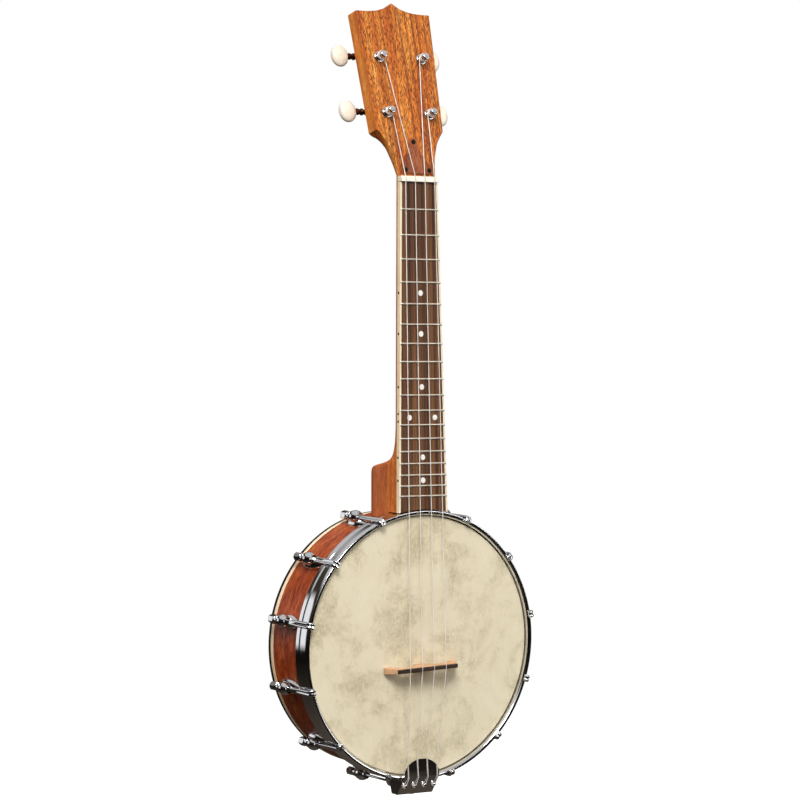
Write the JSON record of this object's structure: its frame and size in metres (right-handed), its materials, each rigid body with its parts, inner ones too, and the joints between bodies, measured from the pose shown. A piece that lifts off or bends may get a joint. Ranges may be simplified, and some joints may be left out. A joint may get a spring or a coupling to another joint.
{
  "type": "banjo ukulele",
  "caption": "Closed-back banjo ukulele with a bracket-tensioned head, a fretted neck, a floating bridge, a tailpiece and worm-geared tuners whose posts turn with their buttons.",
  "frame": {"origin": "where the pot's axis meets the outer face of the back plate", "axes": "+Z from the tailpiece to the headstock, +Y out of the back, so the head faces -Y, +X to the right of someone facing the head"},
  "size_m": [0.2234, 0.0845, 0.6258],
  "materials": {
    "mahogany": "satin",
    "rim_mahogany": "satin",
    "fretboard_wood": "oiled",
    "ebony": "matt",
    "maple": "matt",
    "cream_plastic": "gloss",
    "black_plastic": "gloss",
    "head_skin": "fibrous, matt",
    "chrome": "polished plate",
    "steel": "satin",
    "nut_bone": "polished",
    "button_plastic": "gloss, pearly",
    "string_nylon": "clear, satin"
  },
  "bodies": {
    "root": {"rim": "rim_mahogany", "rim_binding": "cream_plastic", "back_edge_binding": "black_plastic", "back_plate": "mahogany", "head": "head_skin", "flesh_hoop": "steel", "tension_hoop": "chrome", "coordinator_rod": "steel", "end_spacer": "chrome", "end_nut": "chrome", "neck_bolt": "steel", "tailpiece": "chrome", "tailpiece_strap": "chrome", "tailpiece_screw": "steel", "neck": "mahogany", "heel_block": "rim_mahogany", "fretboard": "fretboard_wood", "fretboard_binding_left": "cream_plastic", "fretboard_binding_right": "cream_plastic", "nut": "nut_bone", "truss_rod": "steel", "truss_rod_cover": "rim_mahogany", "bridge_base": "maple", "bridge_top": "ebony", "bracket_01": "chrome", "bracket_02": "chrome", "bracket_03": "chrome", "bracket_04": "chrome", "bracket_05": "chrome", "bracket_06": "chrome", "bracket_07": "chrome", "bracket_08": "chrome", "bracket_09": "chrome", "bracket_10": "chrome", "bracket_11": "chrome", "bracket_12": "chrome", "string_1": "string_nylon", "string_2": "string_nylon", "string_3": "string_nylon", "string_4": "string_nylon", "tuner_plate_lower_left": "chrome", "post_bushing_lower_left": "chrome", "tuner_plate_upper_left": "chrome", "post_bushing_upper_left": "chrome", "tuner_plate_upper_right": "chrome", "post_bushing_upper_right": "chrome", "tuner_plate_lower_right": "chrome", "post_bushing_lower_right": "chrome"},
    "key_lower_left": {"worm_shaft_lower_left": "steel", "button_lower_left": "button_plastic"},
    "post_lower_left": {"post_gear_lower_left": "chrome"},
    "key_upper_left": {"worm_shaft_upper_left": "steel", "button_upper_left": "button_plastic"},
    "post_upper_left": {"post_gear_upper_left": "chrome"},
    "key_upper_right": {"worm_shaft_upper_right": "steel", "button_upper_right": "button_plastic"},
    "post_upper_right": {"post_gear_upper_right": "chrome"},
    "key_lower_right": {"worm_shaft_lower_right": "steel", "button_lower_right": "button_plastic"},
    "post_lower_right": {"post_gear_lower_right": "chrome"}
  },
  "joints": [
    {"name": "key_turn_lower_left", "type": "hinge", "parent": "root", "child": "key_lower_left", "pos_m": [-0.02, -0.00971, 0.41871], "axis": [1, 0, 0], "continuous": true},
    {"name": "post_turn_lower_left", "type": "hinge", "parent": "root", "child": "post_lower_left", "pos_m": [-0.02, -0.02975, 0.41807], "axis": [0, -0.9573, 0.289], "continuous": true},
    {"name": "key_turn_upper_left", "type": "hinge", "parent": "root", "child": "key_upper_left", "pos_m": [-0.02, 0.00359, 0.46275], "axis": [1, 0, 0], "continuous": true},
    {"name": "post_turn_upper_left", "type": "hinge", "parent": "root", "child": "post_upper_left", "pos_m": [-0.02, -0.01646, 0.4621], "axis": [0, -0.9573, 0.289], "continuous": true},
    {"name": "key_turn_upper_right", "type": "hinge", "parent": "root", "child": "key_upper_right", "pos_m": [0.02, 0.00359, 0.46275], "axis": [1, 0, 0], "continuous": true},
    {"name": "post_turn_upper_right", "type": "hinge", "parent": "root", "child": "post_upper_right", "pos_m": [0.02, -0.01646, 0.4621], "axis": [0, -0.9573, 0.289], "continuous": true},
    {"name": "key_turn_lower_right", "type": "hinge", "parent": "root", "child": "key_lower_right", "pos_m": [0.02, -0.00971, 0.41871], "axis": [1, 0, 0], "continuous": true},
    {"name": "post_turn_lower_right", "type": "hinge", "parent": "root", "child": "post_lower_right", "pos_m": [0.02, -0.02975, 0.41807], "axis": [0, -0.9573, 0.289], "continuous": true}
  ],
  "couplings": [
    {"joint": "post_turn_lower_left", "follows": "key_turn_lower_left", "ratio": 0.071429},
    {"joint": "post_turn_upper_left", "follows": "key_turn_upper_left", "ratio": 0.071429},
    {"joint": "post_turn_upper_right", "follows": "key_turn_upper_right", "ratio": 0.071429},
    {"joint": "post_turn_lower_right", "follows": "key_turn_lower_right", "ratio": 0.071429}
  ]
}
